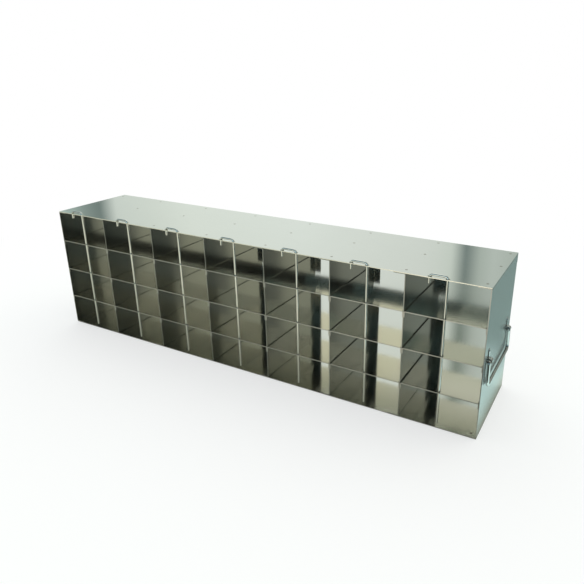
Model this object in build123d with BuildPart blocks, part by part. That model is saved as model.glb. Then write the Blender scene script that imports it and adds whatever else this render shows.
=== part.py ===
"""Side-access freezer rack for cryogenic boxes, in folded stainless-steel sheet.

Upright sheets stand between the columns, folded shelf trays hang between them, and one
sheet closes the top and one the bottom. A bent wire rod drops through each column in
front of its boxes, and a wire bail swings on the handle end.

Millimetres. The origin is the middle of the underside, +X runs to the handle end, -Y is
the open front and +Z is up.
"""

import os
from build123d import *

# Compartments
column_count = 7
row_count = 4
column_pitch = 97.0
row_pitch = 47.5
rack_depth = 136.0

# Folded sheet
sheet = 1.0
fold_radius = 1.6            # outside radius of every fold
upright_flange = 15.0        # flange of an upright sheet, welded to the top or bottom sheet
back_lip = 13.0              # back edge of the top sheet, folded down
stop_flange = 10.0           # back flange of an upright sheet, which the boxes stop against
stop_clearance = 5.0         # height left open between the stop flanges and the back lip
shelf_flange = 7.5           # side flange of a shelf tray, welded to the upright sheets

# Locking rods
rod_diameter = 3.0
rod_setback = 3.0            # from the front edge of the sheets to the rod's axis
rod_hole_clearance = 0.8     # all round the wire in each hole, so that its bends pass too
rod_leg_spacing = 21.0       # from the long leg to the short one
rod_short_leg = 8.0          # how far the short leg reaches below the top face
rod_foot_gap = 3.7           # between the long leg's end and the bottom sheet
rod_bend_radius = 4.0        # of the wire's axis; the bends rest on the rims of the holes
rod_seat_gap = 0.3           # between a bend and the rim that it rests on
rod_end_chamfer = 0.4

# Bail handle
bail_wire = 4.0
bail_drop = 31.0             # from the pivot axis down to the grip's axis
bail_stand_off = 0.7         # how much further out the grip hangs than the pivot
bail_bend_radius = 6.0
bail_end_overhang = 2.0      # wire that shows past the inner side of each clip
bail_end_chamfer = 0.5
pivot_height = 95.5
pivot_gap = 0.3              # between the bail and the end panel behind it

# Clips and rivets of the bail
clip_spacing = 95.0
clip_width = 6.0
clip_sheet = 0.8
clip_eye_clearance = 0.4     # all round the wire in the clip's eye
clip_side_gap = 0.5          # between a clip and the bail's arm
clip_neck_fillet = 1.0
clip_corner_radius = 1.5
rivet_rise = 11.5            # from the pivot axis up to the rivet
rivet_edge = 3.0             # from the rivet to the clip's top edge
rivet_radius = 1.2
rivet_head_radius = 1.9
rivet_head_height = 0.7
rivet_head_chamfer = 0.4
rivet_hole_clearance = 0.05

# Overall faces, and the line where the folds of the back edge start
rack_length = column_count * column_pitch + sheet
rack_height = row_count * row_pitch + sheet
left_face = -rack_length / 2
right_face = rack_length / 2
front_edge = -rack_depth / 2
back_face = rack_depth / 2
back_fold = back_face - fold_radius
fold_depth = back_fold - front_edge

# A stop flange reaches from just above the bottom fold up to the clearance under the lip
stop_low = sheet + fold_radius
stop_high = rack_height - back_lip - stop_clearance

rod_y = front_edge + rod_setback
rod_hole_radius = rod_diameter / 2 + rod_hole_clearance
rim_reach = rod_bend_radius - rod_hole_radius
seat_radius = rod_bend_radius - rod_diameter / 2 - rod_seat_gap
bow_height = rack_height + rod_bend_radius - (seat_radius**2 - rim_reach**2) ** 0.5

pivot_x = right_face + bail_wire / 2 + pivot_gap
arm_y = clip_spacing / 2 + clip_width / 2 + clip_side_gap + bail_wire / 2
clip_places = (-clip_spacing / 2, clip_spacing / 2)
rivet_height = pivot_height + rivet_rise

os.makedirs("parts", exist_ok=True)


def write(piece, label):
    """Label a finished piece and write its file."""
    piece.label = label
    export_step(piece, f"parts/{label}.step")


def upright_left(number):
    """The left face of an upright sheet, counted from 0 at the rear end."""
    return left_face + number * column_pitch


def rod_x(column):
    """The long leg of a column's rod, midway between its upright sheets."""
    return upright_left(column) + (column_pitch + sheet) / 2


def fold_sheet(plane, corners, depth):
    """Fold sheet along the corners of its outer face, which has the steel on its left."""
    with BuildSketch(plane) as section:
        with BuildLine():
            FilletPolyline(*corners, radius=fold_radius)
            offset(amount=sheet, side=Side.LEFT)
        make_face()
    extrude(section.sketch, amount=depth)


def fold_upright(outer_x, side):
    """Web and flanges of an upright sheet; side is the way its flanges point along X."""
    first, last = sheet, rack_height - sheet
    if side > 0:
        first, last = last, first
    tip_x = outer_x + side * upright_flange
    corners = [(tip_x, first), (outer_x, first), (outer_x, last), (tip_x, last)]
    fold_sheet(Plane.XZ.offset(-back_fold), corners, fold_depth)


def fold_stop(outer_x, side):
    """Stop flange at the back of an upright sheet; side is the way it points along X."""
    web = (outer_x, back_face - stop_flange)
    tip = (outer_x + side * stop_flange, back_face)
    corners = [web, (outer_x, back_face), tip]
    if side > 0:
        corners.reverse()
    fold_sheet(Plane.XY.offset(stop_low), corners, stop_high - stop_low)


# Top sheet: one lip along the back, and two holes in each column for the rod's legs
with BuildPart() as top_panel:
    top_corners = [
        (back_face, rack_height - back_lip),
        (back_face, rack_height),
        (front_edge, rack_height),
    ]
    fold_sheet(Plane.YZ.offset(left_face), top_corners, rack_length)
    for column in range(column_count):
        with Locations(
            (rod_x(column), rod_y, rack_height),
            (rod_x(column) - rod_leg_spacing, rod_y, rack_height),
        ):
            Hole(rod_hole_radius)
write(top_panel.part, "top_panel")

# Bottom sheet: plain and flat, without a hole or a fold
with BuildPart() as bottom_panel:
    Box(rack_length, rack_depth, sheet, align=(Align.CENTER, Align.CENTER, Align.MIN))
write(bottom_panel.part, "bottom_panel")

# Rear end panel: all its flanges point inwards, to +X
with BuildPart() as rear_end_panel:
    fold_upright(left_face, 1)
    fold_stop(left_face, 1)
write(rear_end_panel.part, "rear_end_panel")

# Handle end panel: all its flanges point inwards, to -X, and it carries the clips' rivets
with BuildPart() as handle_end_panel:
    fold_upright(right_face, -1)
    fold_stop(right_face, -1)
    for clip_y in clip_places:
        with Locations(Plane((right_face, clip_y, rivet_height), z_dir=(1, 0, 0))):
            Hole(rivet_radius + rivet_hole_clearance, depth=sheet)
write(handle_end_panel.part, "handle_end_panel")

# Partitions: welding flanges to -X, stop flange to +X
for number in range(1, column_count):
    with BuildPart() as partition:
        fold_upright(upright_left(number) + sheet, -1)
        fold_stop(upright_left(number), 1)
    write(partition.part, f"partition_{number}")

# Shelf trays: side flanges folded down against the upright sheets, one hole for the rod
for column in range(column_count):
    tray_left = upright_left(column) + sheet
    tray_right = upright_left(column + 1)
    for level in range(1, row_count):
        tray_top = level * row_pitch + sheet
        tray_low = tray_top - shelf_flange
        with BuildPart() as shelf:
            tray_corners = [
                (tray_right, tray_low),
                (tray_right, tray_top),
                (tray_left, tray_top),
                (tray_left, tray_low),
            ]
            fold_sheet(Plane.XZ.offset(-back_fold), tray_corners, fold_depth)
            with Locations((rod_x(column), rod_y, tray_top)):
                Hole(rod_hole_radius)
        write(shelf.part, f"shelf_{column + 1}_{level}")

# Locking rods: a long leg down the column, a bow on the top sheet and a short leg
for column in range(column_count):
    long_x = rod_x(column)
    short_x = long_x - rod_leg_spacing
    with BuildPart() as locking_rod:
        with BuildLine(Plane.XZ.offset(-rod_y)) as rod_path:
            FilletPolyline(
                (short_x, rack_height - rod_short_leg),
                (short_x, bow_height),
                (long_x, bow_height),
                (long_x, sheet + rod_foot_gap),
                radius=rod_bend_radius,
            )
        with BuildSketch(rod_path.line ^ 0):
            Circle(rod_diameter / 2)
        sweep()
        chamfer(locking_rod.edges().group_by(Axis.Z)[0], rod_end_chamfer)
    write(locking_rod.part, f"locking_rod_{column + 1}")

# Bail: arms and grip in one plane, its ends turned inwards through the eyes of the clips
bail_plane = Plane(
    origin=(pivot_x, 0, pivot_height),
    x_dir=(0, 1, 0),
    z_dir=(-bail_drop, 0, -bail_stand_off),
)
bail_end_y = clip_spacing / 2 - clip_width / 2 - bail_end_overhang
end_bend_radius = clip_side_gap + bail_wire / 2
with BuildPart() as bail_handle:
    with BuildLine(bail_plane) as bail_path:
        FilletPolyline(
            (-bail_end_y, 0),
            (-arm_y, 0),
            (-arm_y, bail_drop),
            (arm_y, bail_drop),
            (arm_y, 0),
            (bail_end_y, 0),
            radius=[end_bend_radius, bail_bend_radius, bail_bend_radius, end_bend_radius],
        )
    with BuildSketch(bail_path.line ^ 0):
        Circle(bail_wire / 2)
    sweep()
    end_faces = bail_handle.faces().filter_by(Axis.Y)
    chamfer(end_faces.edges(), bail_end_chamfer)
write(bail_handle.part, "bail_handle")

# Clips: a leaf on the end panel, its lower end curled round the wire and back to the panel
eye_radius = bail_wire / 2 + clip_eye_clearance
eye_outside = eye_radius + clip_sheet
leaf_face = right_face + clip_sheet
neck_rise = (eye_outside**2 - (pivot_x - leaf_face) ** 2) ** 0.5
for number, clip_y in enumerate(clip_places, start=1):
    with BuildPart() as handle_clip:
        with BuildSketch(Plane.XZ.offset(-clip_y)) as clip_profile:
            with Locations((pivot_x, pivot_height)):
                Circle(eye_outside)
            with Locations((right_face, pivot_height)):
                Rectangle(clip_sheet, rivet_rise + rivet_edge, align=Align.MIN)
            with Locations((pivot_x, pivot_height)):
                Circle(eye_radius, mode=Mode.SUBTRACT)
            with Locations((right_face, pivot_height)):
                Rectangle(eye_outside, 2 * eye_outside, align=(Align.MAX, Align.CENTER),
                          mode=Mode.SUBTRACT)
            neck_corner = clip_profile.vertices().sort_by_distance(
                (leaf_face, pivot_height + neck_rise)
            )[0]
            fillet(neck_corner, clip_neck_fillet)
        extrude(amount=clip_width / 2, both=True)
        leaf_corners = handle_clip.edges().filter_by(Axis.X).group_by(Axis.Z)[-1]
        fillet(leaf_corners, clip_corner_radius)
        with Locations(Plane((leaf_face, clip_y, rivet_height), z_dir=(1, 0, 0))):
            Hole(rivet_radius + rivet_hole_clearance, depth=clip_sheet)
    write(handle_clip.part, f"handle_clip_{number}")

# Rivets: shank through clip and panel, a chamfered head on each side
tail_x = right_face - sheet
grip_length = leaf_face - tail_x
with BuildPart() as handle_rivets:
    for clip_y in clip_places:
        tail_plane = Plane((tail_x, clip_y, rivet_height), z_dir=(1, 0, 0))
        with BuildSketch(tail_plane):
            Circle(rivet_radius)
        extrude(amount=grip_length)
        with BuildSketch(tail_plane):
            Circle(rivet_head_radius)
        extrude(amount=-rivet_head_height)
        with BuildSketch(tail_plane.offset(grip_length)):
            Circle(rivet_head_radius)
        extrude(amount=rivet_head_height)
    rivet_edges = handle_rivets.edges().group_by(Axis.X)
    chamfer(rivet_edges[0] + rivet_edges[-1], rivet_head_chamfer)
write(handle_rivets.part, "handle_rivets")
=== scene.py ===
# %% [markdown]
# # A side-access freezer rack in folded steel
# The rack is already built in CAD, at its real size. This lesson gives it its finishes,
# its rivets and its weld marks, and sets it up for a portrait on a pale floor.
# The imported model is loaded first. It stays fixed, so every later place is read from it.

# %% Load the rack
import math

import bpy
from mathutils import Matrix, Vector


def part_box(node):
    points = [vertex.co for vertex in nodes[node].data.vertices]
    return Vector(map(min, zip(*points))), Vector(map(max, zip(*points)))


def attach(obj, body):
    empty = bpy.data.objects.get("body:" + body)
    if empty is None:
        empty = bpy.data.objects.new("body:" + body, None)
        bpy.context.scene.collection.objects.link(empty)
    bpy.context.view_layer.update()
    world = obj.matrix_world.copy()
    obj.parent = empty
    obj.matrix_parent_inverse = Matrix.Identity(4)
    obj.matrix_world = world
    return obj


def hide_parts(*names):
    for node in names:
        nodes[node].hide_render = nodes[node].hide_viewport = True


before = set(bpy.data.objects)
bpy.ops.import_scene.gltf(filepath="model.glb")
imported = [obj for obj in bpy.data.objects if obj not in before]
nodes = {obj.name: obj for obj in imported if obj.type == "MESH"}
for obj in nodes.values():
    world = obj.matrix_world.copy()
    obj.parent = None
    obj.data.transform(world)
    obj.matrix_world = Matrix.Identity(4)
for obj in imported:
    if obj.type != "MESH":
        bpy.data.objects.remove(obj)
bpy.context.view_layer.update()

bpy.ops.object.select_all(action="DESELECT")

# %% [markdown]
# ## Where the sheets are
# A maker measures from the sheets that are already there. The top sheet gives the front
# edge and the face that the weld marks lie on. Reading its box keeps both in step with the
# CAD, which typed numbers wouldn't.

# %% Measure the sheets
top_low, top_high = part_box("top_panel")
front_edge = top_low.y
top_face = top_high.z
print("top face", round(top_face, 4), "front edge", round(front_edge, 4))

# %% [markdown]
# ## The camera
# The rack is looked at from the front right and a little above, from close by, so the far
# end gets visibly smaller. A wide lens near the object does that. A small shift places the
# rack in the frame without turning the camera away from it.

# %% Place the camera
camera_spot = (0.4516, -0.6388, 0.4156)
look_down = 20.89
look_left = 28.44
camera_data = bpy.data.cameras.new("portrait")
camera_data.sensor_width = 36
camera_data.lens = 35.13
camera_data.shift_x = -0.0604
camera_data.shift_y = -0.0259
camera = bpy.data.objects.new("portrait", camera_data)
camera.location = camera_spot
camera.rotation_euler = (math.radians(90 - look_down), 0, math.radians(look_left))
bpy.context.scene.collection.objects.link(camera)
bpy.context.scene.camera = camera
bpy.context.scene.view_settings.view_transform = "Standard"
print("camera at", camera_spot, "with a", camera_data.lens, "mm lens")

# %% [markdown]
# ## Small helpers for node trees
# Every finish is a small tree of nodes. Adding a node and plugging in its sockets takes a
# few lines each time, so one helper does it: plain values are set on the sockets, and
# sockets of other nodes are linked.

# %% Node helper
def add_node(tree, kind, inputs=None, **settings):
    """Add a node, set its options, and set or link its inputs."""
    node = tree.nodes.new(kind)
    for option, value in settings.items():
        setattr(node, option, value)
    for name, value in (inputs or {}).items():
        socket = node.inputs[name]
        if isinstance(value, bpy.types.NodeSocket):
            tree.links.new(value, socket)
        else:
            socket.default_value = value
    return node


def math_node(tree, operation, first, second=0.0):
    """One sum on one or two values."""
    node = add_node(tree, "ShaderNodeMath", {0: first, 1: second}, operation=operation)
    return node.outputs[0]


def zone(tree, value, start, end, low=0.0, high=1.0):
    """A smooth step from low to high as value goes from start to end."""
    node = add_node(tree, "ShaderNodeMapRange",
                    {"Value": value, 1: start, 2: end, 3: low, 4: high},
                    interpolation_type="SMOOTHSTEP")
    return node.outputs["Result"]


def mix_colour(tree, factor, first, second):
    """Blend two colours."""
    node = add_node(tree, "ShaderNodeMix", data_type="RGBA")
    for socket, value in zip((node.inputs[0], node.inputs[6], node.inputs[7]),
                             (factor, first, second)):
        if isinstance(value, bpy.types.NodeSocket):
            tree.links.new(value, socket)
        else:
            socket.default_value = value
    return node.outputs[2]


print("helpers ready")

# %% [markdown]
# ## The room that the steel mirrors
# Bright steel has hardly any colour of its own: what is seen on it is the room. So the
# room is painted in the world, by compass direction and height. Behind the rack is a pale
# wall with a dark streak low on the far left, a window post a little left of the middle
# and a duller stretch to the right of it, which goes over into a warm bright one.
# The side that the camera stands on is blue low down and dark higher up, where the ceiling
# is also left dark, so each wire gets a dark flank. The camera itself sees plain white.
# A ramp of colours round the whole room is drawn in steps of about 1.4 degrees, so anything
# narrower than that may be left out.

# %% Paint the room
def compass_ramp(tree, bearing, stops):
    """Colours round the room: each stop is a bearing in degrees, 0 behind the rack."""
    share = add_node(tree, "ShaderNodeMapRange",
                     {"Value": bearing, 1: -180.0, 2: 180.0}).outputs["Result"]
    node = add_node(tree, "ShaderNodeValToRGB", {"Fac": share})
    ramp = node.color_ramp
    while len(ramp.elements) > 1:
        ramp.elements.remove(ramp.elements[-1])
    for place, (degrees, colour) in enumerate(stops):
        position = (degrees + 180) / 360
        if place == 0:
            element = ramp.elements[0]
            element.position = position
        else:
            element = ramp.elements.new(position)
        element.color = (*colour, 1)
    return node.outputs["Color"]


dark_room = (0.055, 0.065, 0.06)
blue_room = (0.6, 1.0, 1.25)
low_wall = [
    (-180, blue_room), (-105, dark_room), (-85, (0.5, 0.62, 0.6)),
    (-60, (0.78, 0.86, 0.8)), (-55, (0.78, 0.86, 0.8)), (-53.5, (0.45, 0.58, 0.55)),
    (-52.1, (0.3, 0.38, 0.36)), (-50.7, (0.17, 0.23, 0.22)), (-49.3, (0.74, 0.82, 0.78)),
    (-46, (0.79, 0.87, 0.82)), (-42.5, (0.88, 0.96, 0.91)),
    (-31, (0.91, 0.99, 0.96)), (-24, (0.86, 0.93, 0.9)), (-18, (0.81, 0.88, 0.85)),
    (-15.9, (0.76, 0.84, 0.8)), (-15.4, (0.73, 0.82, 0.77)), (-15, (0.38, 0.46, 0.45)),
    (-14.4, (0.37, 0.43, 0.39)), (-14, (0.17, 0.23, 0.23)), (-13.6, (0.33, 0.39, 0.37)),
    (-13, (0.46, 0.54, 0.5)), (-11.8, (0.61, 0.69, 0.66)), (-8, (0.49, 0.57, 0.53)),
    (18, (0.45, 0.51, 0.47)), (25, (0.68, 0.72, 0.65)), (31, (0.98, 1.0, 0.82)),
    (38, (1.06, 1.08, 0.86)), (60, (1.06, 1.08, 0.86)), (100, dark_room),
    (128, dark_room), (140, blue_room),
]
high_wall = [
    (-105, dark_room), (-80, (0.6, 0.7, 0.68)), (-48, (0.7, 0.8, 0.8)),
    (-44, (0.86, 0.94, 0.92)), (-28, (0.85, 0.91, 0.87)), (-18, (0.84, 0.91, 0.88)),
    (-15.9, (0.8, 0.88, 0.84)), (-15.4, (0.76, 0.84, 0.79)), (-15, (0.36, 0.42, 0.37)),
    (-14.4, (0.33, 0.39, 0.34)), (-14, (0.2, 0.25, 0.21)), (-13.6, (0.36, 0.42, 0.38)),
    (-13, (0.5, 0.56, 0.52)), (-11.8, (0.62, 0.7, 0.67)), (10, (0.56, 0.64, 0.58)),
    (25, (0.6, 0.66, 0.6)), (31, (0.84, 0.88, 0.71)), (38, (0.96, 1.0, 0.8)),
    (60, (0.96, 1.0, 0.8)), (100, dark_room),
]
ceiling = (1.05, 1.1, 1.04, 1)
wall_blend_low, wall_blend_high = 17, 30
ceiling_low, ceiling_high = 45, 70
front_ceiling_share = 0.1

world = bpy.data.worlds.new("pale_room")
bpy.context.scene.world = world
world.use_nodes = True
tree = world.node_tree
tree.nodes.clear()
ray = add_node(tree, "ShaderNodeTexCoord").outputs["Generated"]
axes = add_node(tree, "ShaderNodeSeparateXYZ", {0: ray})
bearing = math_node(tree, "ARCTAN2", axes.outputs["X"], axes.outputs["Y"])
bearing = math_node(tree, "DEGREES", bearing)
height = math_node(tree, "DEGREES", math_node(tree, "ARCSINE", axes.outputs["Z"]))
walls = mix_colour(tree, zone(tree, height, wall_blend_low, wall_blend_high),
                   compass_ramp(tree, bearing, low_wall),
                   compass_ramp(tree, bearing, high_wall))
ceiling_behind = zone(tree, axes.outputs["Y"], -0.25, 0.0, front_ceiling_share, 1.0)
overhead = math_node(tree, "MULTIPLY", zone(tree, height, ceiling_low, ceiling_high),
                     ceiling_behind)
room = mix_colour(tree, overhead, walls, ceiling)
seen = add_node(tree, "ShaderNodeLightPath").outputs["Is Camera Ray"]
colour = mix_colour(tree, seen, room, (1, 1, 1, 1))
background = add_node(tree, "ShaderNodeBackground", {"Color": colour, "Strength": 1.0})
add_node(tree, "ShaderNodeOutputWorld", {"Surface": background.outputs[0]})
print("room painted with", len(low_wall), "and", len(high_wall), "stops")

# %% [markdown]
# ## The floor
# The rack stands on a plain pale bench. The camera sees it white, with only the soft
# shadow under the rack left on it, and further out it goes over into the white background.
# The steel mirrors the bench in other tones, warm on the left and more neutral on the
# right, and with light and shade painted on it. They are laid as patches, one over the
# other, each with soft edges: a duller one under the rack and in front of it, which is the
# rack's painted shadow; a bluish one past its handle end, a painted pool of light, brighter
# than white near the front and darker further back; a lighter one out in front on the
# right; and beyond that a dark one at the front right, a painted shadow.

# %% Lay the floor
floor_reach = 6.0
floor_drop = 0.0003
fade_start, fade_end = 0.45, 0.9
bpy.ops.mesh.primitive_circle_add(vertices=96, radius=floor_reach, fill_type="NGON",
                                  location=(0, 0, -floor_drop))
floor = bpy.context.object
floor.name = "floor"
floor_finish = bpy.data.materials.new("pale_bench")
floor_finish.use_nodes = True
tree = floor_finish.node_tree
tree.nodes.clear()
seen = add_node(tree, "ShaderNodeLightPath").outputs["Is Camera Ray"]
spot = add_node(tree, "ShaderNodeTexCoord").outputs["Object"]
measure = add_node(tree, "ShaderNodeVectorMath", {0: spot}, operation="LENGTH")
distance = measure.outputs["Value"]
cloud = add_node(tree, "ShaderNodeTexNoise", {"Vector": spot, "Scale": 3.0, "Detail": 3.0})
sides = add_node(tree, "ShaderNodeSeparateXYZ", {0: spot})
bench_and_painted_light = mix_colour(tree, cloud.outputs["Fac"], (1.07, 1.03, 0.87, 1), (1.11, 1.07, 0.91, 1))
right_half = ("X", 0.12, 0.2)
past_handle = ("X", 0.34, 0.36)
patches = [
    ((1.07, 1.05, 1.0), [right_half]),
    ((0.88, 0.89, 0.8), [("Y", 0.15, 0.25), right_half]),
    # the rack's painted shadow, under it and in front of it
    ((0.67, 0.67, 0.57), [("Y", 0.2, 0.04)]),
    # a painted pool of bluish light past the handle end, brighter than white at the front and
    # darker further back
    ((1.35, 1.7, 1.7), [past_handle]),
    ((0.85, 1.08, 1.08), [past_handle, ("Y", -0.06, 0.08)]),
    ((0.3, 0.4, 0.39), [past_handle, ("Y", 0.06, 0.22)]),
    ((1.1, 1.04, 0.9), [("X", -0.15, 0.15), ("Y", -0.15, -0.3)]),
    # a painted shadow at the front right
    ((0.06, 0.07, 0.06), [("X", 0.27, 0.33), ("Y", -0.12, -0.17)]),
]
# Each patch is laid over the bench, its own tones and the painted light and shade alike.
for patch_tone_and_light, edges in patches:
    shares = [zone(tree, sides.outputs[axis], start, full) for axis, start, full in edges]
    share = shares[0]
    for other_share in shares[1:]:
        share = math_node(tree, "MULTIPLY", share, other_share)
    bench_and_painted_light = mix_colour(tree, share, bench_and_painted_light, (*patch_tone_and_light, 1))
paper = add_node(tree, "ShaderNodeBsdfDiffuse",
                 {"Color": mix_colour(tree, seen, bench_and_painted_light, (0.96, 0.96, 0.96, 1))})
white = add_node(tree, "ShaderNodeEmission", {"Color": (1, 1, 1, 1), "Strength": 1.0})
whitening = zone(tree, distance, fade_start, fade_end, 0.6, 1.0)
fade = math_node(tree, "MULTIPLY", seen, whitening)
mixed = add_node(tree, "ShaderNodeMixShader",
                 {0: fade, 1: paper.outputs[0], 2: white.outputs[0]})
add_node(tree, "ShaderNodeOutputMaterial", {"Surface": mixed.outputs[0]})
floor.data.materials.append(floor_finish)
print("floor", 2 * floor_reach, "m across with", len(patches), "patches")

# %% [markdown]
# ## A grey card
# Behind the rack on the right stands a tall grey card, as a studio puts one up to
# give bright metal a dark edge to mirror. It is near enough for each column to see its
# edge in another place, which the far walls of the room can't do. Only mirrors see it.
# Its grey is painted light: the card glows with it instead of being lit by the room.

# %% Stand the card up
card_edge = 0.53
card_back = 0.7
card_size = 2.4
# The card glows with this grey, painted light.
card_glow_tone = (0.33, 0.35, 0.31, 1)
bpy.ops.mesh.primitive_plane_add(size=card_size,
                                 location=(card_edge + card_size / 2, card_back,
                                           card_size / 2),
                                 rotation=(math.radians(90), 0, 0))
card = bpy.context.object
card.name = "grey_card"
card_finish = bpy.data.materials.new("grey_card")
card_finish.use_nodes = True
tree = card_finish.node_tree
tree.nodes.clear()
card_glow = add_node(tree, "ShaderNodeEmission", {"Color": card_glow_tone})
add_node(tree, "ShaderNodeOutputMaterial", {"Surface": card_glow.outputs[0]})
card.data.materials.append(card_finish)
card.visible_camera = False
card.visible_diffuse = False
card.visible_shadow = False
bpy.ops.object.select_all(action="DESELECT")
print("card stands", card_back, "m behind the middle")

# %% [markdown]
# ## The light from above
# One very wide light lights the floor evenly, so that the rack's shadow stays soft. It is
# kept out of the mirror images, where it would only be a white spot.

# %% Hang the light
lamp_data = bpy.data.lights.new("wide_light", "SUN")
lamp_data.energy = 1.6
lamp_data.angle = math.radians(120)
lamp = bpy.data.objects.new("wide_light", lamp_data)
lamp.location = (0, 0, 2)
lamp.visible_glossy = False
bpy.context.scene.collection.objects.link(lamp)
print("light is", round(math.degrees(lamp_data.angle)), "degrees wide")

# %% [markdown]
# ## Rolled steel sheet
# The top, the bottom and the trays are bright cold-rolled stainless steel, almost a
# mirror. What makes it steel and not a mirror is small: the sheet is never quite flat, the
# rolls leave a faint grain, and handling leaves a slight haze. So the finish has a long
# shallow wave and a fine grain in its normal, and clouds in its tone and roughness.
# The front edges are sheared and not polished, so they are rougher and have a tint of their
# own; the top sheet's edge tint is paler than the sheet, a painted highlight along that edge.
# The faces that point along the rack are duller, with some haze, and have a darker tint that
# is painted shade: both sides of an upright, and the outside of the handle end.

# %% Sheet finish
tone_spread = 0.04
cut_roughness = 0.15
haze_share = 0.22
haze_roughness = 0.55
along_rack = (0.03, 0.05, 1.0)


def steel_finish(name, tint, roughness, grain, wave, brushing=0.0, dull_and_shaded=None,
                 depth=1.5e-6, edge=(0.45, 0.43, 0.4)):
    """Metal with cloudy tone and roughness, a rolling grain and a slight wave.

    The argument after brushing gives the darker tint, a painted shade, and the roughness,
    sides ("both" or "right") and brushing of the duller faces.
    """
    finish = bpy.data.materials.new(name)
    finish.use_nodes = True
    tree = finish.node_tree
    tree.nodes.clear()
    coordinates = add_node(tree, "ShaderNodeTexCoord")
    place = coordinates.outputs["Object"]
    stretched = add_node(tree, "ShaderNodeMapping", {"Vector": place, "Scale": grain})
    lines = add_node(tree, "ShaderNodeTexNoise",
                     {"Vector": stretched.outputs[0], "Scale": 1.0, "Detail": 4.0})
    clouds = add_node(tree, "ShaderNodeTexNoise",
                      {"Vector": place, "Scale": 16.0, "Detail": 5.0, "Roughness": 0.6})
    swell = add_node(tree, "ShaderNodeTexNoise",
                     {"Vector": place, "Scale": 9.0, "Detail": 0.0})
    tone = math_node(tree, "ADD", math_node(tree, "MULTIPLY", clouds.outputs["Fac"], 0.6),
                     math_node(tree, "MULTIPLY", lines.outputs["Fac"], 0.4))
    long_wave = add_node(tree, "ShaderNodeBump",
                         {"Strength": 1.0, "Distance": wave, "Height": swell.outputs["Fac"]})
    fine_grain = add_node(tree, "ShaderNodeBump",
                          {"Strength": 1.0, "Distance": depth,
                           "Height": lines.outputs["Fac"],
                           "Normal": long_wave.outputs["Normal"]})
    axes = add_node(tree, "ShaderNodeSeparateXYZ", {0: place})
    cut = zone(tree, axes.outputs["Y"], front_edge + 0.0003, front_edge + 0.0001)

    def metal(colour, rough, anisotropy, smear):
        """One finish of the sheet, with the tone, roughness and brushing it is given; on the
        sideways faces that tone is a painted shade.
        """
        shade = mix_colour(tree, tone, [v * (1 - tone_spread) for v in colour] + [1],
                           [v * (1 + tone_spread) for v in colour] + [1])
        shade = mix_colour(tree, cut, shade, (*edge, 1))
        rough = zone(tree, tone, 0.3, 0.7, rough * 0.93, rough * 1.07)
        rough = math_node(tree, "ADD", rough, math_node(tree, "MULTIPLY", cut, cut_roughness))
        smear = add_node(tree, "ShaderNodeCombineXYZ", dict(zip("XYZ", smear)))
        return add_node(tree, "ShaderNodeBsdfPrincipled",
                        {"Base Color": shade, "Metallic": 1.0, "Roughness": rough,
                         "Normal": fine_grain.outputs["Normal"],
                         "Anisotropic": anisotropy, "Tangent": smear.outputs[0]})

    surface = metal(tint, roughness, brushing, (0.03, 1.0, 0.05))
    # Faces that point along the rack are mixed in with a darker tint, a painted shade, and a
    # rougher, hazier finish.
    if dull_and_shaded:
        painted_shade_tint, dull_roughness, dull_sides, dull_brushing = dull_and_shaded
        facing = add_node(tree, "ShaderNodeSeparateXYZ", {0: coordinates.outputs["Normal"]})
        sideways = facing.outputs["X"]
        if dull_sides == "both":
            sideways = math_node(tree, "ABSOLUTE", sideways)
        outside = zone(tree, sideways, 0.3, 0.7)
        other = metal(painted_shade_tint, dull_roughness, dull_brushing, along_rack)
        haze = metal(painted_shade_tint, haze_roughness, 0.0, along_rack)
        other = add_node(tree, "ShaderNodeMixShader",
                         {0: haze_share, 1: other.outputs[0], 2: haze.outputs[0]})
        surface = add_node(tree, "ShaderNodeMixShader",
                           {0: outside, 1: surface.outputs[0], 2: other.outputs[0]})
    add_node(tree, "ShaderNodeOutputMaterial", {"Surface": surface.outputs[0]})
    return finish


bright_tint = (0.675, 0.67, 0.62)
hazy_tint = (0.57, 0.57, 0.52)
# A darker tint for faces that point along the rack: painted shade over their duller finish.
side_shade_tint = (0.3, 0.305, 0.285)
flat_grain = (60, 1500, 1500)
upright_grain = (1500, 60, 1500)
flat_wave = 0.00012
upright_wave = 0.00008
end_wave = 0.0002
bright_sheet = steel_finish("bright_sheet", bright_tint, 0.07, flat_grain, flat_wave, 1.0,
                            (side_shade_tint, 0.2, "both", 0.6))
hazy_sheet = steel_finish("hazy_sheet", hazy_tint, 0.12, flat_grain, flat_wave, 0.9,
                          (side_shade_tint, 0.2, "both", 0.6))
# The top sheet's front edge is paler than the sheet: a painted highlight, the bright line
# that a rounded arris would catch.
top_sheet = steel_finish("top_sheet", bright_tint, 0.07, flat_grain, flat_wave,
                         depth=8e-7, edge=(0.8, 0.77, 0.71))
upright_sheet = steel_finish("upright_sheet", bright_tint, 0.09, upright_grain, upright_wave,
                             1.0, (side_shade_tint, 0.12, "both", 0.6), edge=(0.34, 0.33, 0.3))
# The outside of the handle end is duller and has a darker tint of its own, a painted shade.
end_sheet = steel_finish("end_sheet", bright_tint, 0.09, (500, 500, 500), end_wave,
                         1.0, ((0.44, 0.46, 0.45), 0.21, "right", 0.0), 5e-7)
print("sheet finishes:", bright_sheet.name, hazy_sheet.name, top_sheet.name,
      upright_sheet.name, end_sheet.name)

# %% [markdown]
# ## Drawn wire and clips
# The rods and the bail are bright drawn wire, and the clips are pressed from bright strip.
# The die leaves fine lines along a rod, so its grain runs along it. The bail is darker and
# the clips are a little rougher, both with an even grain. The same recipe does all three,
# with hardly any wave.

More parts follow.
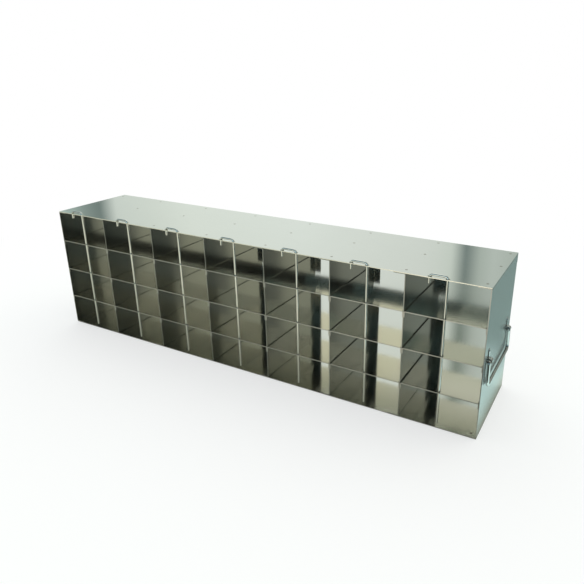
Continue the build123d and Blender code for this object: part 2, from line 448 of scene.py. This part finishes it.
# %% Wire and clip finishes
rod_grain = (1500, 1500, 60)
even_grain = (300, 300, 300)
slight_wave = 0.00001
wire_finish = steel_finish("drawn_wire", (0.76, 0.76, 0.72), 0.05, rod_grain, slight_wave,
                           depth=4e-7)
bail_finish = steel_finish("bail_wire", (0.5, 0.5, 0.48), 0.04, even_grain, slight_wave,
                           depth=4e-7)
clip_finish = steel_finish("pressed_strip", (0.6, 0.61, 0.6), 0.09, even_grain, slight_wave)
print("wire and clip finishes ready")

# %% [markdown]
# ## Spot-weld marks
# The top sheet is spot-welded to the flanges of the uprights. Each weld leaves a small
# round mark where the electrode pressed: a raised lip round a shallow dish, tinted brown by
# the heat. One mark is raised from a circle by insetting it twice, up and down again, and
# every other mark is a copy. Each upright's flange is as wide as its box, so the welds go
# in the middle of that box: three along each flange of the top, and one at the front of the
# last two flanges of the bottom.

# %% Weld marks
weld_finish = steel_finish("weld_tint", (0.36, 0.33, 0.28), 0.3, even_grain, slight_wave)
weld_radius = 0.0017
weld_lip = 0.0005
weld_rise = 0.00008
weld_dish = 0.7 * weld_rise
bpy.ops.mesh.primitive_circle_add(vertices=32, radius=weld_radius, fill_type="NGON")
bpy.ops.object.mode_set(mode="EDIT")
bpy.ops.mesh.select_all(action="SELECT")
bpy.ops.mesh.inset(thickness=weld_lip)
bpy.ops.transform.translate(value=(0, 0, weld_rise))
bpy.ops.mesh.inset(thickness=weld_lip)
bpy.ops.transform.translate(value=(0, 0, -weld_dish))
bpy.ops.object.mode_set(mode="OBJECT")
bpy.ops.object.shade_smooth()
first_mark = bpy.context.object
first_mark.data.materials.append(weld_finish)
bottom_low, bottom_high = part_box("bottom_panel")
flange_face = 2 * bottom_high.z - bottom_low.z
weld_lines = []
for name in nodes:
    if name.startswith("partition") or name.endswith("end_panel"):
        low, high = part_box(name)
        weld_lines.append((low.x + high.x) / 2)
weld_lines.sort()
back_edge = -front_edge
front_weld, middle_weld, back_weld = front_edge + 0.01, 0.005, back_edge - 0.011
bottom_weld = front_edge + 0.007
spots = [(x, y, top_face) for x in weld_lines for y in (front_weld, middle_weld, back_weld)]
spots += [(x, bottom_weld, flange_face) for x in weld_lines[-2:]]
for number, spot in enumerate(spots, 1):
    mark = first_mark.copy()
    mark.data = first_mark.data.copy()
    mark.name = "weld_mark_" + str(number)
    bpy.context.scene.collection.objects.link(mark)
    bpy.ops.object.select_all(action="DESELECT")
    mark.select_set(True)
    bpy.context.view_layer.objects.active = mark
    mark.location = spot
    bpy.ops.object.transform_apply(location=True, rotation=True, scale=True)
    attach(mark, "rack")
bpy.data.objects.remove(first_mark)
print(len(spots), "weld marks on", len(weld_lines), "flanges")

# %% [markdown]
# ## Domed rivets
# Each clip is held by one rivet. Its head is set with a cupped punch, which leaves a low
# dome, so the rivets are shaped again here: two domes on a shank. A dome is half of a
# ball, pressed flat. The ball's poles lie on the rivet's axis, so that the cut follows one
# ring of the ball and leaves a clean rim.

# %% Rivets
rivets_low, rivets_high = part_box("handle_rivets")
head_radius = (rivets_high.z - rivets_low.z) / 2
head_rise = 0.0007
shank_radius = 0.0012


def head(centre, side):
    """One low dome; side is 1 for the outside and -1 for the inside."""
    bpy.ops.mesh.primitive_uv_sphere_add(segments=32, ring_count=24, radius=head_radius,
                                         location=centre, rotation=(0, math.radians(90), 0))
    dome = bpy.context.object
    bpy.ops.object.transform_apply(location=False, rotation=True, scale=False)
    bpy.ops.object.mode_set(mode="EDIT")
    bpy.ops.mesh.select_all(action="SELECT")
    bpy.ops.mesh.bisect(plane_co=centre, plane_no=(side, 0, 0), clear_inner=True,
                        use_fill=True)
    bpy.ops.object.mode_set(mode="OBJECT")
    dome.scale = (head_rise / head_radius, 1, 1)
    bpy.ops.object.transform_apply(location=True, rotation=True, scale=True)
    return dome


for number, side in enumerate((-1, 1), 1):
    level = (rivets_high.z + rivets_low.z) / 2
    across = side * (rivets_high.y - head_radius)
    outer = head((rivets_high.x - head_rise, across, level), 1)
    inner = head((rivets_low.x + head_rise, across, level), -1)
    length = rivets_high.x - rivets_low.x - 2 * head_rise
    bpy.ops.mesh.primitive_cylinder_add(
        vertices=32, radius=shank_radius, depth=length,
        location=((rivets_high.x + rivets_low.x) / 2, across, level),
        rotation=(0, math.radians(90), 0))
    shank = bpy.context.object
    bpy.ops.object.transform_apply(location=True, rotation=True, scale=True)
    for part in (outer, inner):
        part.select_set(True)
    bpy.ops.object.join()
    shank.name = "rivet_" + str(number)
    bpy.ops.object.shade_smooth_by_angle(angle=math.radians(50))
    shank.data.materials.clear()
    shank.data.materials.append(clip_finish)
    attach(shank, "rack")
    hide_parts("handle_rivets")
print("rivets with heads", round(head_radius * 2, 4), "m across")

# %% [markdown]
# ## Give every piece its finish
# Each piece says in its name what it is, so the finish is chosen by the name.

# %% Assign the finishes
finishes = {
    "top_panel": top_sheet,
    "bottom_panel": bright_sheet,
    "shelf_7_3": hazy_sheet,
    "shelf": bright_sheet,
    "rear_end_panel": upright_sheet,
    "handle_end_panel": end_sheet,
    "partition": upright_sheet,
    "locking_rod": wire_finish,
    "bail_handle": bail_finish,
    "handle_clip": clip_finish,
    "handle_rivets": clip_finish,
}
for name, node in nodes.items():
    kind = next(start for start in finishes if name.startswith(start))
    node.data.materials.clear()
    node.data.materials.append(finishes[kind])
print("finishes given to", len(nodes), "pieces")
